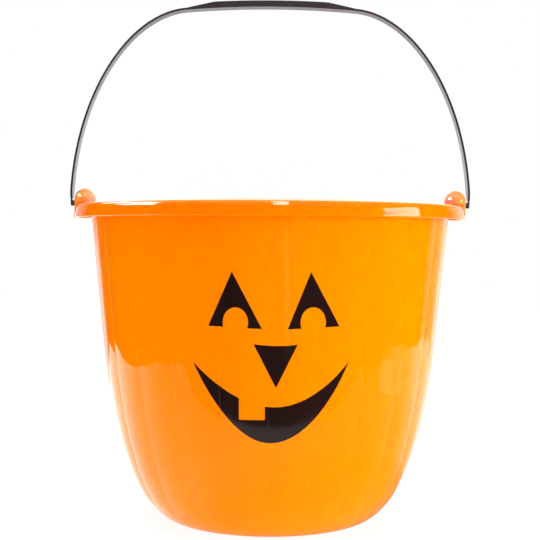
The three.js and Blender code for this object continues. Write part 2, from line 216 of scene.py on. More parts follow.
# Studio. The sheet that the pail stands on, the cards, the glows and the softboxes show in the gloss alone
SHEET = [  # corners, as (x, y, rounding)
    (-0.54, 0.5, 0),
    (-0.505, 0.28, 0.1),
    (-0.425, 0.0, 0.12),
    (-0.415, -0.11, 0.05),
    (-0.34, -0.222, 0.05),
    (-0.2, -0.195, 0.1),
    (0.33, -0.185, 0.1),
    (0.52, -0.06, 0.06),
    (0.6, 0.5, 0),
]
SHEET_GLOW = {  # from front to back, with the edge between them as (place, soft width)
    "left": {"front": 0.65, "back": 2.05, "edge": (-0.03, 0.36)},
    "right": {"front": 0.3, "back": 1.3, "edge": (0.06, 0.3)},
}
SHEET_MIDDLE = (0.04, 0.26)  # edge between left and right
SHADE_PLACE = (0.045, -0.03, 0)  # the pail shades the sheet under itself and to its right
SHADE_EDGE = (0.1, 0.06)
SHADE_LEVEL = 0.3
CARDS = {
    "bright patch": {"corners": [(0.29, -0.1), (0.43, -0.12), (0.47, 0.0), (0.31, 0.0)], "glow": 1.2},
    "gap in front": {"corners": [(0.05, -0.43), (0.078, -0.9), (0.135, -0.9), (0.085, -0.43)], "glow": 0.55},
}
# Glows of the floor and room by the degrees round from straight behind the pail
FLOOR_GLOW = {-52: 0, -44: 0.08, -39: 0.35, -35: 1.2, -20: 1.1, 33: 1.2, 42: 0.65, 50: 0.4, 57: 0.3, 58: 0}
ROOM_GLOW = {
    -46: 0,
    -40: 0.3,
    -34: 0.5,
    -22: 0.6,
    -13: 1.7,
    -8: 2.0,
    8: 2.0,
    13: 1.7,
    20: 0.8,
    28: 1.1,
    34: 1.1,
    43: 0.5,
    48: 0.2,
    56: 0,
}
# Edges of the room's glows, as (height in the direction seen, soft width)
ROOM_TOP_EDGE = (0.5, 0.4)
CEILING_EDGE = (0.65, 0.5)
HORIZON_EDGE = (-0.035, 0.03)
CEILING_GLOW = 0.6
CARD_LIFT = 0.1 * MM
SOFTBOXES = {
    "right softbox": {"azimuth": 79, "elevation": 16, "width": 0.56, "height": 0.3, "glow": 7.5},
    "left softbox": {"azimuth": -96, "elevation": 37, "width": 0.95, "height": 0.46, "glow": 18},
    "front softbox": {"azimuth": 7, "elevation": 55, "width": 0.14, "height": 1.0, "glow": 14},
}
SOFTBOX_DISTANCE = 1.2
LAMPS = {
    "key": {"azimuth": 65, "elevation": 4, "distance": 1.2, "size": 0.5, "strength": 12},
    "top": {"azimuth": 0, "elevation": 90, "distance": 1.0, "size": 1.0, "strength": 13},
}
FLOOR_SIZE = 6.0
FLOOR_WHITE = 0.9  # to the camera
FLOOR_MATT = (0.15, 0.15, 0.15, 1)
FLOOR_LIGHT = 1.3  # to matt surfaces
ROOM_LIGHT = 0.7  # to matt surfaces


def smoothstep(value, low, high):
    share = np.clip((value - low) / (high - low), 0, 1)
    return share * share * (3 - 2 * share)


def new_object(name, data):
    piece = bpy.data.objects.new(name, data)
    bpy.context.scene.collection.objects.link(piece)
    return piece


def mesh_piece(name, points, faces):
    mesh = bpy.data.meshes.new(name)
    mesh.from_pydata([tuple(point) for point in points], [], faces)
    mesh.validate()
    mesh.shade_smooth()
    return new_object(name, mesh)


def bake_modifiers(piece):
    """Makes the shape that the modifiers give the piece's own mesh."""
    graph = bpy.context.evaluated_depsgraph_get()
    baked = bpy.data.meshes.new_from_object(piece.evaluated_get(graph))
    piece.modifiers.clear()
    old = piece.data
    piece.data = baked
    bpy.data.meshes.remove(old)


def combine(piece, tools, operation):
    """Joins the tools to the piece, or cuts them from it, and drops them."""
    for tool in tools:
        change = piece.modifiers.new(tool.name, "BOOLEAN")
        change.operation = operation
        change.object = tool
        change.solver = "EXACT"
    bake_modifiers(piece)
    for tool in tools:
        bpy.data.objects.remove(tool)


def finish_edges(piece, angle):
    """Smooth shading with sharp edges past an angle, weighted so that broad faces stay true."""
    piece.data.set_sharp_from_angle(angle=angle)
    weigh = piece.modifiers.new("weighted normals", "WEIGHTED_NORMAL")
    weigh.keep_sharp = True
    weigh.weight = NORMAL_WEIGHT


# Outlines

def rounded(corners, steps=5):
    """Points of a line whose corners, each (x, y, rounding), are rounded to arcs."""
    points = []
    for i, (x, y, rounding) in enumerate(corners):
        here = Vector((x, y))
        if rounding == 0 or i in (0, len(corners) - 1):
            points.append(here)
            continue
        back = (Vector(corners[i - 1][:2]) - here).normalized()
        ahead = (Vector(corners[i + 1][:2]) - here).normalized()
        half = back.angle(ahead) / 2
        centre = here + (back + ahead).normalized() * (rounding / math.sin(half))
        start = here + back * (rounding / math.tan(half)) - centre
        end = here + ahead * (rounding / math.tan(half)) - centre
        turn = math.pi - 2 * half
        for step in range(steps + 1):
            share = step / steps
            spoke = start * math.sin((1 - share) * turn) + end * math.sin(share * turn)
            points.append(centre + spoke / math.sin(turn))
    return points


def closed_rounded(corners, steps=5):
    """The same for a closed outline."""
    ring = [corners[-1], *corners, corners[0]]
    return rounded(ring, steps)[1:-1]


def bezier(start, pull_start, pull_end, end, steps):
    """Points on a cubic curve, both ends included."""
    ends = [Vector(point) for point in (start, pull_start, pull_end, end)]
    points = []
    for step in range(steps + 1):
        t = step / steps
        weights = ((1 - t) ** 3, 3 * t * (1 - t) ** 2, 3 * t * t * (1 - t), t**3)
        points.append(sum((p * w for p, w in zip(ends, weights)), Vector((0, 0))))
    return points


# Pail

def wall_radius(height):
    straight = MOUTH_RADIUS - (PAIL_HEIGHT - height) * math.tan(WALL_TAPER)
    if height >= BELLY_HEIGHT:
        return straight
    drop = 1 - max(height, 0) / BELLY_HEIGHT
    return FOOT_RADIUS + (straight - FOOT_RADIUS) * (1 - drop**BELLY_POWER) ** (1 / BELLY_POWER)


def wall_line(top, belly_steps=44, straight_steps=14):
    """Points on the outside of the wall from the foot up to a height."""
    heights = []
    for step in range(belly_steps + 1):
        turn = (1 - step / belly_steps) * math.pi / 2
        heights.append(BELLY_HEIGHT * (1 - math.sin(turn) ** (2 / BELLY_POWER)))
    heights.extend(np.linspace(BELLY_HEIGHT, top, straight_steps + 1)[1:])
    return [Vector((wall_radius(height), height)) for height in heights]


def offset_line(points, distance):
    """The same line moved to the left of its direction."""
    moved = []
    for i, point in enumerate(points):
        before = points[max(i - 1, 0)]
        after = points[min(i + 1, len(points) - 1)]
        along = (after - before).normalized()
        moved.append(Vector((point.x - along.y * distance, point.y + along.x * distance)))
    return moved


def relief(angles):
    """How far the lobes and the rib beads stand out at each angle round the pail."""
    share = (angles / RIB_PITCH) % 1
    lobe = LOBE_RISE * 4 * share * (1 - share)
    from_rib = np.minimum(share, 1 - share) * RIB_PITCH
    bead = RIB_HEIGHT * np.cos(np.clip(from_rib / RIB_HALF_ANGLE, 0, 1) * math.pi / 2) ** 2
    return lobe, bead


def rib_columns(first=0, count=RIB_COUNT, bead_steps=8, lobe_steps=10):
    """Angles of the mesh's columns, close together over each rib."""
    bead = np.linspace(-RIB_HALF_ANGLE, RIB_HALF_ANGLE, bead_steps + 1)
    lobe = np.linspace(RIB_HALF_ANGLE, RIB_PITCH - RIB_HALF_ANGLE, lobe_steps + 1)[1:-1]
    one = np.concatenate([bead, lobe])
    return np.concatenate([one + rib * RIB_PITCH for rib in range(first, first + count)])


def row(point, lobe=0.0, bead=0.0):
    return (point[0], point[1], lobe, bead)


def outside_row(point):
    fade = float(smoothstep(point[1], RIB_FOOT, RIB_FULL))
    return row(point, fade, fade)


def inside_row(point):
    fade = float(smoothstep(point[1], RIB_FOOT, RIB_FULL))
    fade *= 1 - float(smoothstep(point[1], PAIL_HEIGHT - 3 * RIM_DEPTH, PAIL_HEIGHT - RIM_DEPTH))
    return row(point, INSIDE_LOBE * fade)


def shell_rows():
    """The pail's profile: under the foot, up the outside, over the rim and down the inside."""
    foot_inside = FOOT_RADIUS - FOOT_WIDTH
    under = rounded([
        (0, FOOT_RECESS, 0),
        (foot_inside - FOOT_RECESS, FOOT_RECESS, CORNER_ROUND),
        (foot_inside, 0, CORNER_ROUND),
        (FOOT_RADIUS, 0, 0),
    ])[:-1]
    skirt_top = RIM_RADIUS - SKIRT_FLARE
    lip_edge = MOUTH_RADIUS + LIP_LAND
    flange_drop = (skirt_top - lip_edge) * math.tan(FLANGE_SLOPE)
    roof = PAIL_HEIGHT - RIM_WALL
    wall = wall_line(roof - 2 * CORNER_ROUND)
    roof_corner = skirt_top - RIM_WALL
    roof_drop = (roof_corner - MOUTH_RADIUS) * math.tan(FLANGE_SLOPE)
    rim = rounded([
        (*wall[-1], 0),
        (wall_radius(roof), roof, CORNER_ROUND),
        (roof_corner, roof - roof_drop, CORNER_ROUND),
        (RIM_RADIUS - RIM_WALL, RIM_BOTTOM, CORNER_ROUND),
        (RIM_RADIUS, RIM_BOTTOM, CORNER_ROUND),
        (skirt_top, PAIL_HEIGHT - flange_drop, RIM_ROUND),
        (lip_edge, PAIL_HEIGHT, LIP_ROUND),
        (MOUTH_RADIUS - WALL_THICKNESS, PAIL_HEIGHT, LIP_ROUND),
        (MOUTH_RADIUS - WALL_THICKNESS, PAIL_HEIGHT - RIM_DEPTH, 0),
    ], steps=7)[1:-1]
    floor = FOOT_RECESS + WALL_THICKNESS
    inside = offset_line(wall_line(PAIL_HEIGHT - 3 * LIP_ROUND), WALL_THICKNESS)
    bottom = rounded([
        (*inside[0], 0),
        (foot_inside - WALL_THICKNESS / 2, WALL_THICKNESS, CORNER_ROUND),
        (foot_inside - FOOT_RECESS - WALL_THICKNESS / 2, floor, CORNER_ROUND),
        (0, floor, 0),
    ])[1:]
    return [
        *map(row, under),
        *map(outside_row, wall),
        *map(row, rim),
        *map(inside_row, reversed(inside)),
        *map(row, bottom),
    ]


def revolved(name, rows, angles):
    """A closed solid turned about the upright axis. The first and last rows are on the axis."""
    radius, height, lobe_share, bead_share = np.array(rows).T
    lobe, bead = relief(angles)
    reach = radius[:, None] + lobe_share[:, None] * lobe + bead_share[:, None] * bead
    x = reach * np.sin(angles)
    y = -reach * np.cos(angles)
    z = np.repeat(height[:, None], len(angles), axis=1)
    rings = np.stack([x, y, z], axis=-1)[1:-1].reshape(-1, 3)
    points = np.vstack([[(0, 0, height[0])], rings, [(0, 0, height[-1])]])
    count = len(angles)
    last = len(points) - 1
    faces = []
    for column in range(count):
        after = (column + 1) % count
        faces.append((0, 1 + after, 1 + column))
        for ring in range(len(rows) - 3):
            low = 1 + ring * count
            high = low + count
            faces.append((low + column, low + after, high + after, high + column))
        top = 1 + (len(rows) - 3) * count
        faces.append((top + column, top + after, last))
    return mesh_piece(name, points, faces)


def thumb(name, inside, outside, width, bottom, shoulder, top, flare=0.0, steps=56, dome_steps=12):
    """An upright thumb shape with an oval plan: straight up to the shoulder, then a dome."""
    depth = (outside - inside) / 2
    levels = [(0, bottom), (1 + flare / depth, bottom)]
    if flare > 0:
        levels += [(1 + 0.5 * flare / depth, bottom + flare), (1, bottom + 3 * flare)]
    for step in range(dome_steps):
        turn = step / dome_steps * math.pi / 2
        levels.append((math.cos(turn), shoulder + (top - shoulder) * math.sin(turn)))
    levels.append((0, top))
    rows = [row(level) for level in levels]
    angles = np.linspace(0, 2 * math.pi, steps, endpoint=False)
    piece = revolved(name, rows, angles)
    place = Matrix.Translation((inside + depth, 0, 0)) @ Matrix.Diagonal((depth, width / 2, 1, 1))
    piece.data.transform(place)
    return piece


def rod(name, levels, steps=40):
    """A rod along X at the pivot's height, from (x, radius) levels going outward."""
    rows = [row((radius, x)) for x, radius in levels]
    piece = revolved(name, rows, np.linspace(0, 2 * math.pi, steps, endpoint=False))
    piece.data.transform(Matrix.Translation((0, 0, PIVOT_HEIGHT)) @ Matrix.Rotation(math.pi / 2, 4, "Y"))
    return piece


def mirrored(piece, name):
    """A copy on the left side."""
    twin = new_object(name, piece.data.copy())
    twin.data.transform(Matrix.Diagonal((-1, 1, 1, 1)))
    twin.data.flip_normals()
    return twin


def pail():
    shell = revolved("pail", shell_rows(), rib_columns())
    ear = thumb(
        "ear",
        inside=EAR_INSIDE,
        outside=EAR_REACH,
        width=EAR_WIDTH,
        bottom=RIM_BOTTOM,
        shoulder=PAIL_HEIGHT + EAR_SHOULDER,
        top=PAIL_HEIGHT + EAR_RISE,
        flare=EAR_FLARE,
    )
    hollow = thumb(
        "ear hollow",
        inside=MOUTH_RADIUS + EAR_INSET,
        outside=EAR_REACH - EAR_WALL,
        width=EAR_WIDTH - 2 * EAR_WALL,
        bottom=RIM_BOTTOM - EAR_WALL,
        shoulder=PAIL_HEIGHT + EAR_SHOULDER,
        top=PAIL_HEIGHT + EAR_RISE - EAR_WALL,
    )
    middle = (EAR_INSIDE + EAR_REACH) / 2
    hole = rod("pivot hole", [
        (middle, 0),
        (middle, PIVOT_HOLE / 2),
        (EAR_REACH + EAR_WALL, PIVOT_HOLE / 2),
        (EAR_REACH + EAR_WALL, 0),
    ])
    combine(shell, [ear, mirrored(ear, "left ear")], "UNION")
    cuts = [hollow, mirrored(hollow, "left ear hollow"), hole, mirrored(hole, "left pivot hole")]
    combine(shell, cuts, "DIFFERENCE")
    finish_edges(shell, SHARP_ANGLE)
    return shell


# Bail

def strap_line(leg_steps=70, crown_steps=40):
    """The strap's outer face in a front view, from the right pivot up and over to the middle."""
    half = math.asin(GRIP_LENGTH / 2 / CROWN_RADIUS)

    def on_crown(turn):
        return Vector((CROWN_RADIUS * math.sin(turn), CROWN_TOP - CROWN_RADIUS * (1 - math.cos(turn))))

    grip_end = on_crown(half)
    shoulder = grip_end + Vector((math.cos(half), -math.sin(half))) * SHOULDER_PULL
    pivot = Vector((STRAP_REACH, PIVOT_HEIGHT))
    leg = bezier(pivot, pivot + Vector((-LEG_LEAN, LEG_PULL)), shoulder, grip_end, leg_steps)
    crown = [on_crown(half * (1 - step / crown_steps)) for step in range(1, crown_steps + 1)]
    return leg + crown


def strap_stations():
    """Each station is (outer point, outward direction, width, grip's rise above the point)."""
    end = PIVOT_HEIGHT + STRAP_END_RISE
    line = strap_line()
    first = next(i for i, point in enumerate(line) if point.y > end)
    share = (end - line[first - 1].y) / (line[first].y - line[first - 1].y)
    line = [line[first - 1].lerp(line[first], share), *line[first:]]
    line += [Vector((-point.x, point.y)) for point in reversed(line[:-1])]
    stations = []
    for i, point in enumerate(line):
        before = line[max(i - 1, 0)]
        after = line[min(i + 1, len(line) - 1)]
        along = (after - before).normalized()
        outward = Vector((along.y, -along.x))
        taper = min(max((point.y - end) / STRAP_END_TAPER, 0), 1)
        width = STRAP_END_WIDTH + (STRAP_WIDTH - STRAP_END_WIDTH) * (1 - (1 - taper) ** 2)
        slope_share = (GRIP_LENGTH / 2 - abs(point.x)) / ((GRIP_LENGTH - GRIP_FLAT) / 2)
        raised = GRIP_RISE * min(max(slope_share, 0), 1)
        stations.append((point, outward, width, raised))
    return stations


def lofted(name, sections):
    """A closed solid through equal rings of points, with its ends filled."""
    count = len(sections[0])
    points = [point for section in sections for point in section]
    faces = []
    for i in range(len(sections) - 1):
        for j in range(count):
            after = (j + 1) % count
            low = i * count
            high = low + count
            faces.append((low + j, low + after, high + after, high + j))
    faces.append(tuple(reversed(range(count))))
    faces.append(tuple(range(len(points) - count, len(points))))
    return mesh_piece(name, points, faces)


def strap_section(point, outward, width, raised):
    """A rounded rectangle across the strap."""
    half = width / 2
    corners = [
        (-half, -STRAP_THICKNESS, STRAP_EDGE),
        (half, -STRAP_THICKNESS, STRAP_EDGE),
        (half, raised, STRAP_EDGE),
        (-half, raised, STRAP_EDGE),
    ]
    ring = []
    for across, out in closed_rounded(corners, steps=4):
        place = point + outward * out
        ring.append(Vector((place.x, across, place.y)))
    return ring


def bail():
    strap = lofted("bail", [strap_section(*station) for station in strap_stations()])
    middle = STRAP_REACH - STRAP_THICKNESS / 2
    neck_height = STRAP_END_RISE + STRAP_THICKNESS
    neck_half = NECK_THICKNESS / 2
    neck_rings = []
    for height in (0, neck_height):
        ring = closed_rounded([
            (middle - neck_half, -NECK_WIDTH / 2, STRAP_EDGE),
            (middle + neck_half, -NECK_WIDTH / 2, STRAP_EDGE),
            (middle + neck_half, NECK_WIDTH / 2, STRAP_EDGE),
            (middle - neck_half, NECK_WIDTH / 2, STRAP_EDGE),
        ])
        neck_rings.append([Vector((x, y, PIVOT_HEIGHT + height)) for x, y in ring])
    neck = lofted("neck", neck_rings)
    head_face = EAR_REACH - EAR_WALL - PEG_HEAD_PLAY
    tip = head_face - PEG_HEAD_LENGTH
    end_face = STRAP_REACH - PEG_INSET
    peg = rod("peg", [
        (tip, 0),
        (tip, PEG_TIP_RADIUS),
        ((tip + head_face) / 2, PEG_HEAD_RADIUS),
        (head_face, PEG_HEAD_RADIUS),
        (head_face, PEG_RADIUS),
        (end_face - STRAP_EDGE, PEG_RADIUS),
        (end_face, PEG_RADIUS - STRAP_EDGE),
        (end_face, 0),
    ])
    combine(strap, [neck, mirrored(neck, "left neck"), peg, mirrored(peg, "left peg")], "UNION")
    finish_edges(strap, SHARP_ANGLE)
    return strap


# Face

def ink_skin(name):
    """A thin slab that follows the front of the wall, ribs and all."""
    angles = rib_columns(first=-INK_PITCHES // 2, count=INK_PITCHES)
    line = [point for point in wall_line(PAIL_HEIGHT - RIM_DEPTH) if point.y > RIB_FULL]
    lobe, bead = relief(angles)
    sides = []
    for lift in (INK_LIFT, INK_LIFT + INK_FILM):
        for point in line:
            reach = point.x + lobe + bead + lift
            heights = np.full_like(reach, point.y)
            sides.append(np.stack([reach * np.sin(angles), -reach * np.cos(angles), heights], axis=-1))
    points = np.concatenate(sides)
    columns, rows = len(angles), len(line)

    def at(side, i, j):
        return (side * rows + i) * columns + j

    faces = []
    for i in range(rows - 1):
        for j in range(columns - 1):
            faces.append((at(1, i, j), at(1, i, j + 1), at(1, i + 1, j + 1), at(1, i + 1, j)))
            faces.append((at(0, i, j), at(0, i + 1, j), at(0, i + 1, j + 1), at(0, i, j + 1)))
    for i in range(rows - 1):
        faces.append((at(0, i, 0), at(1, i, 0), at(1, i + 1, 0), at(0, i + 1, 0)))
        j = columns - 1
        faces.append((at(0, i, j), at(0, i + 1, j), at(1, i + 1, j), at(1, i, j)))
    for j in range(columns - 1):
        faces.append((at(0, 0, j), at(0, 0, j + 1), at(1, 0, j + 1), at(1, 0, j)))
        i = rows - 1
        faces.append((at(0, i, j), at(1, i, j), at(1, i, j + 1), at(0, i, j + 1)))
    return mesh_piece(name, points, faces)


def printed(name, outline):
    """The part of the skin that lies behind a flat outline in millimetres."""
    near, far = [], []
    for x, height in outline:
        near.append((x * MM, -RIM_RADIUS, FACE_HEIGHT + height * MM))
        far.append((x * MM, -FOOT_RADIUS, FACE_HEIGHT + height * MM))
    stencil = lofted(name + " stencil", [far, near])
    figure = ink_skin(name)
    combine(figure, [stencil], "INTERSECT")
    finish_edges(figure, INK_SHARP_ANGLE)
    return figure


def eye_outline(apex, outer, inner, pupil):
    """A triangle with an oval bite out of its base, which runs from the outer to the inner corner."""

    def in_pupil(point):
        return Vector(((point[0] - pupil[0]) / PUPIL_SIZE[0], (point[1] - pupil[1]) / PUPIL_SIZE[1]))

    start = in_pupil(outer)
    end = in_pupil(inner)
    along = (end - start).normalized()
    middle = start - along * start.dot(along)
    half = math.sqrt(1 - middle.length_squared)
    enter = middle - along * half
    leave = middle + along * half
    first = math.atan2(enter.y, enter.x)
    sweep = (math.atan2(leave.y, leave.x) - first) % (2 * math.pi)
    if inner[0] > outer[0]:
        sweep -= 2 * math.pi
    bite = []
    for step in range(BITE_STEPS + 1):
        turn = first + sweep * step / BITE_STEPS
        bite.append((pupil[0] + PUPIL_SIZE[0] * math.cos(turn), pupil[1] + PUPIL_SIZE[1] * math.sin(turn), 0))
    corner = INK_CORNER / MM
    return closed_rounded([(*apex, corner), (*outer, corner), *bite, (*inner, corner)])


def nose_outline():
    """A triangle on its tip, with a sagging top edge."""
    left, right, tip, sag = (Vector(NOSE[name]) for name in ("left", "right", "tip", "sag"))
    top = bezier(right, right.lerp(sag, 2 / 3), left.lerp(sag, 2 / 3), left, 16)
    corner = INK_CORNER / MM
    edge = [(*point, 0) for point in top[1:-1]]
    return closed_rounded([(*tip, corner), (*right, corner), *edge, (*left, corner)])


def lip(curve, steps=40):
    """A lip's curve from the left tip to the right tip."""
    bottom, pull = Vector(curve["bottom"]), Vector((curve["pull"], 0))
    left = bezier(MOUTH_TIPS["left"], curve["left"], bottom - pull, bottom, steps)
    right = bezier(bottom, bottom + pull, curve["right"], MOUTH_TIPS["right"], steps)
    return left + right[1:]


def mouth_outline():
    upper = lip(UPPER_LIP)
    xs = [point.x for point in upper]
    ys = [point.y for point in upper]
    tooth = [TOOTH["left"], TOOTH["right"]]
    roots = [float(np.interp(x, xs, ys)) for x in tooth]
    before = [(*point, 0) for point in upper if point.x < TOOTH["left"]]
    after = [(*point, 0) for point in upper if point.x > TOOTH["right"]]
    corner = INK_CORNER / MM
    notch = [
        (TOOTH["left"], roots[0], 0),
        (TOOTH["left"], TOOTH["bottom"], corner),
        (TOOTH["right"], TOOTH["bottom"], corner),
        (TOOTH["right"], roots[1], 0),
    ]
    lower = [(*point, 0) for point in reversed(lip(LOWER_LIP)[1:-1])]
    return closed_rounded([*before, *notch, *after, *lower])


def face_prints():
    figures = {
        "left_eye": eye_outline(**EYES["left"]),
        "right_eye": eye_outline(**EYES["right"]),
        "nose": nose_outline(),
        "mouth": mouth_outline(),
    }
    return {name: printed(name + "_ink", outline) for name, outline in figures.items()}


# Materials

def add_node(tree, kind, inputs=None, **settings):
    node = tree.nodes.new(kind)
    for name, value in settings.items():
        setattr(node, name, value)
    for name, value in (inputs or {}).items():
        if isinstance(value, bpy.types.NodeSocket):
            tree.links.new(value, node.inputs[name])
        else:
            node.inputs[name].default_value = value
    return node


def maths(tree, operation, *values, clamp=False):
    node = add_node(tree, "ShaderNodeMath", dict(enumerate(values)), operation=operation, use_clamp=clamp)
    return node.outputs[0]


def soft_above(tree, value, edge, width):
    """1 where value is above edge, and 0 below, over a soft width."""
    node = add_node(tree, "ShaderNodeMapRange", {"Value": value}, interpolation_type="SMOOTHSTEP")
    node.inputs["From Min"].default_value = edge - width / 2
    node.inputs["From Max"].default_value = edge + width / 2
    return node.outputs[0]


def blend(tree, factor, a, b, kind="RGBA"):
    """From a to b by a factor. The kind is RGBA for colours and FLOAT for plain values."""
    node = add_node(tree, "ShaderNodeMix", {"Factor": factor, "A": a, "B": b}, data_type=kind)
    return node.outputs["Result"]


def noise(tree, place, scale, detail, roughness=0.5):
    inputs = {"Vector": place, "Scale": scale, "Detail": detail, "Roughness": roughness}
    return add_node(tree, "ShaderNodeTexNoise", inputs).outputs["Fac"]


def moulded_surface():
    """A node group: slow flow for the colour, and fine unevenness for the gloss and the face."""
    group = bpy.data.node_groups.new("moulded surface", "ShaderNodeTree")
    for name in ("Flow", "Roughness", "Height"):
        group.interface.new_socket(name=name, in_out="OUTPUT", socket_type="NodeSocketFloat")
    for name in ("Flow Scale", "Gloss", "Gloss Spread"):
        group.interface.new_socket(name=name, in_out="INPUT", socket_type="NodeSocketFloat")
    given = add_node(group, "NodeGroupInput").outputs
    place = add_node(group, "ShaderNodeTexCoord").outputs["Object"]
    stretched = add_node(group, "ShaderNodeMapping", {"Vector": place, "Scale": FLOW_STRETCH})
    flow = noise(group, stretched.outputs[0], given["Flow Scale"], detail=3)
    grain = noise(group, place, GRAIN_SCALE, detail=2)
    wear = noise(group, place, given["Flow Scale"], detail=6, roughness=0.65)
    spread = maths(group, "SUBTRACT", wear, 0.5)
    gloss = maths(group, "MULTIPLY_ADD", spread, given["Gloss Spread"], given["Gloss"])
    add_node(group, "NodeGroupOutput", {"Flow": flow, "Roughness": gloss, "Height": grain})
    return group


def empty_material(name):
    material = bpy.data.materials.new(name)
    material.use_nodes = True
    material.node_tree.nodes.clear()
    return material, material.node_tree


def moulded_material(name, group):
    """A material whose gloss comes from the moulded surface, with its shader and that surface."""
    material, tree = empty_material(name)
    surface = add_node(tree, "ShaderNodeGroup", FINISHES[name], node_tree=group).outputs
    shader = add_node(tree, "ShaderNodeBsdfPrincipled", {"Roughness": surface["Roughness"]})
    add_node(tree, "ShaderNodeOutputMaterial", {"Surface": shader.outputs[0]})
    return material, tree, shader, surface


def grain_normal(tree, surface, strength):
    inputs = {"Strength": strength, "Distance": GRAIN_DEPTH, "Height": surface["Height"]}
    return add_node(tree, "ShaderNodeBump", inputs).outputs[0]


def orange_colour(tree, place, flow):
    """The wall's shades, with painted shade on the deeper rim, painted light on the pale ears and a painted
    glow below the rim.
    """
    side = maths(tree, "ABSOLUTE", place["X"])
    # the ears, where the painted light goes
    over_lip = soft_above(tree, place["Z"], *EAR_TOP_EDGE)
    past_rim = soft_above(tree, side, *EAR_SIDE_EDGE)
    on_ear = maths(tree, "MAXIMUM", over_lip, past_rim)
    # painted glow below the rim, inside the skirt
    low = maths(tree, "SUBTRACT", 1, soft_above(tree, place["Z"], *UNDERSIDE_EDGE))
    under = maths(tree, "MULTIPLY", low, soft_above(tree, side, *UNDERSIDE_START))
    wall = blend(tree, flow, *ORANGE["wall"])
    # painted shade: the rim deeper orange
    skirt = blend(tree, soft_above(tree, place["Z"], *RIM_EDGE), wall, ORANGE["rim"])
    # painted light: the ears pale on the inner side, deep orange outward
    ear = blend(tree, soft_above(tree, side, *EAR_PAINTED_GLOW_EDGE), *ORANGE["ear"])
    top = blend(tree, on_ear, skirt, ear)
    return blend(tree, under, top, ORANGE["painted glow under the rim"])


def skirt_waves(tree, point, place, normal):
    """Long flat waves round the skirt's face, over the normal that is given."""
    flat = add_node(tree, "ShaderNodeMapping", {"Vector": point, "Scale": WAVE_SCALE})
    lines = noise(tree, flat.outputs[0], 1.0, detail=2)
    on_rim = soft_above(tree, place["Z"], *RIM_EDGE)
    on_skirt = maths(tree, "SUBTRACT", on_rim, soft_above(tree, place["Z"], *FLANGE_EDGE))
    height = maths(tree, "MULTIPLY", lines, on_skirt)
    inputs = {"Strength": 1.0, "Distance": RIM_WAVE, "Height": height, "Normal": normal}
    return add_node(tree, "ShaderNodeBump", inputs).outputs[0]


def orange_plastic(group):
    """Glossy plastic that lets some light through. Its colour holds painted light and shade: the thin ears
    painted palest, the rim deeper and a painted glow below the rim.
    """
    material, tree, shader, surface = moulded_material("orange plastic", group)
    point = add_node(tree, "ShaderNodeTexCoord").outputs["Object"]
    place = add_node(tree, "ShaderNodeSeparateXYZ", {0: point}).outputs
    tree.links.new(orange_colour(tree, place, surface["Flow"]), shader.inputs["Base Color"])
    grain = grain_normal(tree, surface, GRAIN_STRENGTH["orange plastic"])
    tree.links.new(skirt_waves(tree, point, place, grain), shader.inputs["Normal"])
    tint = blend(tree, soft_above(tree, place["Z"], *WHITE_GLOSS_EDGE), GLOSS_TINT, WHITE)
    tree.links.new(tint, shader.inputs["Specular Tint"])
    shader.inputs["IOR"].default_value = ORANGE_IOR
    for name, value in GLOW_THROUGH.items():
        shader.inputs[name].default_value = value
    return material


def black_plastic(group):
    material, tree, shader, surface = moulded_material("black plastic", group)
    tree.links.new(blend(tree, surface["Flow"], *BLACK["plastic"]), shader.inputs["Base Color"])
    grain = grain_normal(tree, surface, GRAIN_STRENGTH["black plastic"])
    tree.links.new(grain, shader.inputs["Normal"])
    return material


def black_ink(group):
    material, tree, shader, surface = moulded_material("black ink", group)
    tree.links.new(blend(tree, surface["Flow"], *BLACK["ink"]), shader.inputs["Base Color"])
    return material


def dress(piece, material, body, node):
    piece.data.materials.clear()
    piece.data.materials.append(material)
    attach(piece, body)
    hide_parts(node)


# Studio

def camera():
    data = bpy.data.cameras.new("camera")
    data.sensor_width = CAMERA_SENSOR
    data.lens = CAMERA_SENSOR * FOCAL_PIXELS / FRAME_PIXELS
    eye = new_object("camera", data)
    turn = Matrix.Rotation(math.pi / 2 - CAMERA_PITCH, 4, "X") @ Matrix.Rotation(CAMERA_ROLL, 4, "Z")
    eye.matrix_world = Matrix.Translation((CAMERA_SIDE, -CAMERA_DISTANCE, CAMERA_HEIGHT)) @ turn
    bpy.context.scene.camera = eye


def facing_pail(azimuth, elevation, distance):
    """A place round the pail, turned to it. Azimuth 0 is the front and 90 the right."""
    a, e = math.radians(azimuth), math.radians(elevation)
    away = Vector((math.sin(a) * math.cos(e), -math.cos(a) * math.cos(e), math.sin(e)))
    aim = Vector((0, 0, PAIL_HEIGHT / 2))
    return Matrix.Translation(aim + away * distance) @ away.to_track_quat("Z", "Y").to_matrix().to_4x4()


def lamp(name, azimuth, elevation, distance, size, strength):
    """A soft square lamp aimed at the pail, which doesn't show in the gloss."""
    data = bpy.data.lights.new(name, "AREA")
    data.size = size
    data.energy = strength
    light = new_object(name, data)
    light.matrix_world = facing_pail(azimuth, elevation, distance)
    light.visible_glossy = False


def glow_round(tree, x, y, glows):
    """A glow by the angle round from straight behind the pail."""
    side = maths(tree, "ARCTAN2", x, y)
    share = maths(tree, "MULTIPLY_ADD", side, 1 / (2 * math.pi), 0.5)
    ramp = add_node(tree, "ShaderNodeValToRGB", {0: share})
    stops = ramp.color_ramp.elements
    top = max(glows.values())
    for angle, glow in glows.items():
        stop = stops.new(0.5 + angle / 360)
        stop.color = (glow / top, glow / top, glow / top, 1)
    stops[0].color = (0, 0, 0, 1)
    stops[len(stops) - 1].color = (0, 0, 0, 1)
    return maths(tree, "MULTIPLY", ramp.outputs["Color"], top)


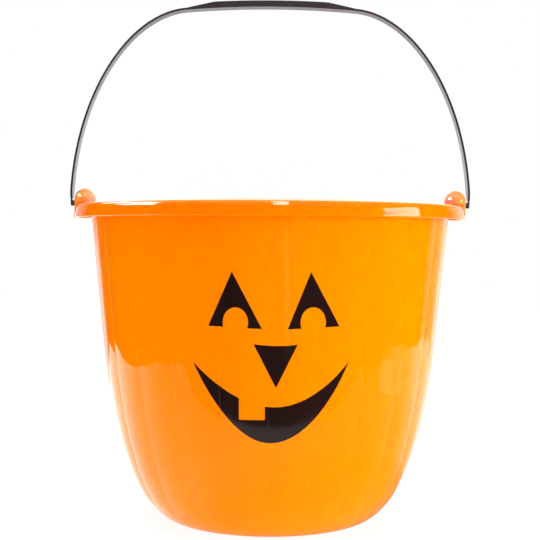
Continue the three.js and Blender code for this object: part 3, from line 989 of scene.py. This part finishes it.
def floor():
    """The pale floor. The camera sees it white with the pail's shadow, and the gloss sees the room."""
    half = FLOOR_SIZE / 2
    corners = [(-half, -half, 0), (half, -half, 0), (half, half, 0), (-half, half, 0)]
    piece = mesh_piece("floor", corners, [(0, 1, 2, 3)])
    material, tree = empty_material("floor")
    place = add_node(tree, "ShaderNodeNewGeometry").outputs["Position"]
    split = add_node(tree, "ShaderNodeSeparateXYZ", {0: place}).outputs
    room = glow_round(tree, split["X"], split["Y"], FLOOR_GLOW)
    rays = add_node(tree, "ShaderNodeLightPath").outputs
    glossy = rays["Is Glossy Ray"]
    plain = blend(tree, rays["Is Diffuse Ray"], FLOOR_WHITE, FLOOR_LIGHT, kind="FLOAT")
    glow = blend(tree, glossy, plain, room, kind="FLOAT")
    light = add_node(tree, "ShaderNodeEmission", {"Color": WHITE, "Strength": glow})
    matt = add_node(tree, "ShaderNodeBsdfDiffuse", {"Color": FLOOR_MATT})
    black = add_node(tree, "ShaderNodeEmission", {"Strength": 0.0})
    shade = add_node(tree, "ShaderNodeMixShader", {0: glossy, 1: matt.outputs[0], 2: black.outputs[0]})
    both = add_node(tree, "ShaderNodeAddShader", {0: light.outputs[0], 1: shade.outputs[0]})
    add_node(tree, "ShaderNodeOutputMaterial", {"Surface": both.outputs[0]})
    piece.data.materials.append(material)


def gloss_card(name, points, glow):
    """A flat glowing sheet that shows in the gloss alone. The glow is a number, or made by a function."""
    piece = mesh_piece(name, points, [tuple(range(len(points)))])
    piece.visible_camera = False
    piece.visible_diffuse = False
    piece.visible_transmission = False
    piece.visible_volume_scatter = False
    piece.visible_shadow = False
    material, tree = empty_material(name)
    strength = glow(tree) if callable(glow) else glow
    light = add_node(tree, "ShaderNodeEmission", {"Color": WHITE, "Strength": strength})
    add_node(tree, "ShaderNodeOutputMaterial", {"Surface": light.outputs[0]})
    piece.data.materials.append(material)
    return piece


def sheet_glow(tree):
    """Brighter to the left and to the back, and dim in the pail's shade."""
    place = add_node(tree, "ShaderNodeNewGeometry").outputs["Position"]
    split = add_node(tree, "ShaderNodeSeparateXYZ", {0: place}).outputs
    sides = []
    for side in ("left", "right"):
        glow = SHEET_GLOW[side]
        to_back = soft_above(tree, split["Y"], *glow["edge"])
        sides.append(maths(tree, "MULTIPLY_ADD", to_back, glow["back"] - glow["front"], glow["front"]))
    open_glow = blend(tree, soft_above(tree, split["X"], *SHEET_MIDDLE), *sides, kind="FLOAT")
    apart = add_node(tree, "ShaderNodeVectorMath", {0: place, 1: SHADE_PLACE}, operation="DISTANCE")
    clear = soft_above(tree, apart.outputs["Value"], *SHADE_EDGE)
    open_share = maths(tree, "MULTIPLY_ADD", clear, 1 - SHADE_LEVEL, SHADE_LEVEL)
    return maths(tree, "MULTIPLY", open_glow, open_share)


def gloss_room():
    outline = closed_rounded(SHEET, steps=12)
    gloss_card("sheet", [(*point, CARD_LIFT) for point in outline], sheet_glow)
    for name, card in CARDS.items():
        gloss_card(name, [(*corner, 2 * CARD_LIFT) for corner in card["corners"]], card["glow"])
    for name, box in SOFTBOXES.items():
        across, up = box["width"] / 2, box["height"] / 2
        corners = [(-across, -up, 0), (across, -up, 0), (across, up, 0), (-across, up, 0)]
        softbox = gloss_card(name, corners, box["glow"])
        softbox.matrix_world = facing_pail(box["azimuth"], box["elevation"], SOFTBOX_DISTANCE)


def world():
    """White to the camera, plain grey light to matt surfaces, and a white backdrop in the gloss."""
    room = bpy.data.worlds.new("studio")
    bpy.context.scene.world = room
    room.use_nodes = True
    tree = room.node_tree
    tree.nodes.clear()
    direction = add_node(tree, "ShaderNodeTexCoord").outputs["Generated"]
    split = add_node(tree, "ShaderNodeSeparateXYZ", {0: direction})
    x, y, z = split.outputs
    fade = maths(tree, "SUBTRACT", 1, soft_above(tree, z, *ROOM_TOP_EDGE))
    ceiling = maths(tree, "MULTIPLY", soft_above(tree, z, *CEILING_EDGE), CEILING_GLOW)
    behind = maths(tree, "MULTIPLY_ADD", fade, glow_round(tree, x, y, ROOM_GLOW), ceiling)
    far_floor = glow_round(tree, x, y, FLOOR_GLOW)
    backdrop = blend(tree, soft_above(tree, z, *HORIZON_EDGE), far_floor, behind, kind="FLOAT")
    rays = add_node(tree, "ShaderNodeLightPath").outputs
    seen = maths(tree, "MAXIMUM", rays["Is Camera Ray"], rays["Is Transmission Ray"])
    plain = blend(tree, seen, ROOM_LIGHT, 1.0, kind="FLOAT")
    level = blend(tree, rays["Is Glossy Ray"], plain, backdrop, kind="FLOAT")
    light = add_node(tree, "ShaderNodeBackground", {"Color": WHITE, "Strength": level})
    add_node(tree, "ShaderNodeOutputWorld", {"Surface": light.outputs[0]})


camera()
world()
floor()
gloss_room()
for name, place in LAMPS.items():
    lamp(name, **place)

surface_group = moulded_surface()
orange = orange_plastic(surface_group)
black = black_plastic(surface_group)
ink = black_ink(surface_group)

dress(pail(), orange, "pail", "pail_shell")
dress(bail(), black, "bail", "bail_handle")
for name, figure in face_prints().items():
    dress(figure, ink, "pail", name + "_print")

bpy.context.scene.view_settings.view_transform = "Standard"
